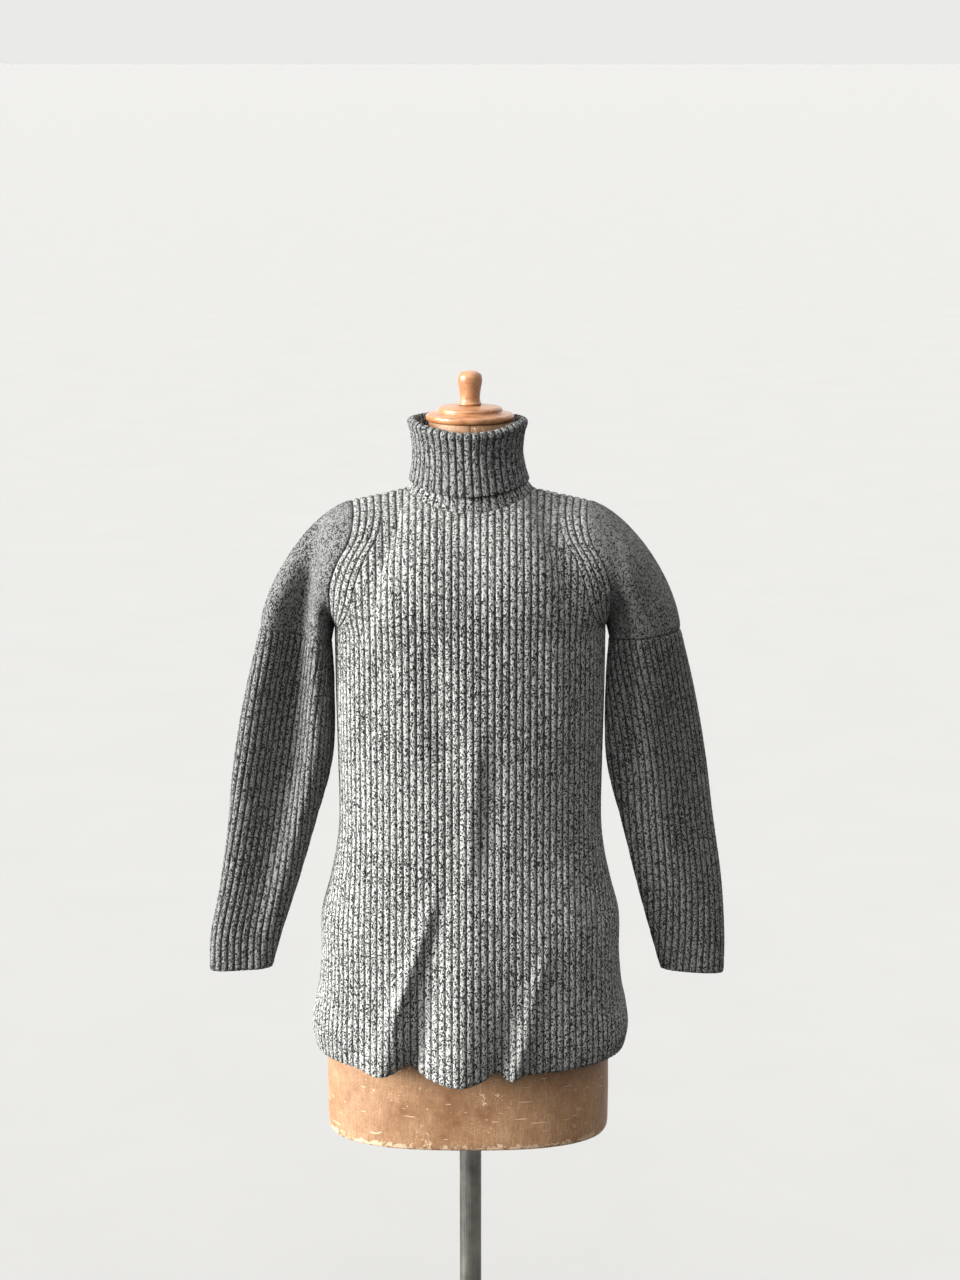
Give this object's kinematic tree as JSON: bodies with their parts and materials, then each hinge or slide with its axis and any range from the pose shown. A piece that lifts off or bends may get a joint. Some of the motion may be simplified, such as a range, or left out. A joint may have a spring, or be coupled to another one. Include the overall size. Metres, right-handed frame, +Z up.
{
  "type": "turtleneck sweater on a dress form and stand",
  "caption": "Ribbed grey wool turtleneck with long sleeves, worn by a limbless tan dress form with a turned wooden cap and finial, on a metal pole and round foot.",
  "frame": {"origin": "on the floor under the pole's axis, which is also the centre of the part's bounding box", "axes": "+Z up, the sweater's front faces -Y, +X to the right of someone who looks at the front"},
  "size_m": [0.6551, 0.3762, 1.4994],
  "materials": {
    "body_wool": "grey marl ribbed wool knit",
    "sleeve_wool": "grey marl wool knit",
    "collar_wool": "grey marl ribbed wool knit",
    "form_skin": "aged tan covering with pale chips and scratches",
    "turned_wood": "turned and varnished orange-brown wood",
    "pole_steel": "dull grey steel tube",
    "base_iron": "plain dark foot"
  },
  "bodies": {
    "root": {"front_panel": "body_wool", "back_panel": "body_wool", "sleeve_upper_left": "sleeve_wool", "sleeve_upper_right": "sleeve_wool", "sleeve_lower_left": "sleeve_wool", "sleeve_lower_right": "sleeve_wool", "collar": "collar_wool", "form_torso": "form_skin", "neck_cap": "turned_wood", "finial": "turned_wood", "pole": "pole_steel", "base_plate": "base_iron"}
  },
  "joints": []
}
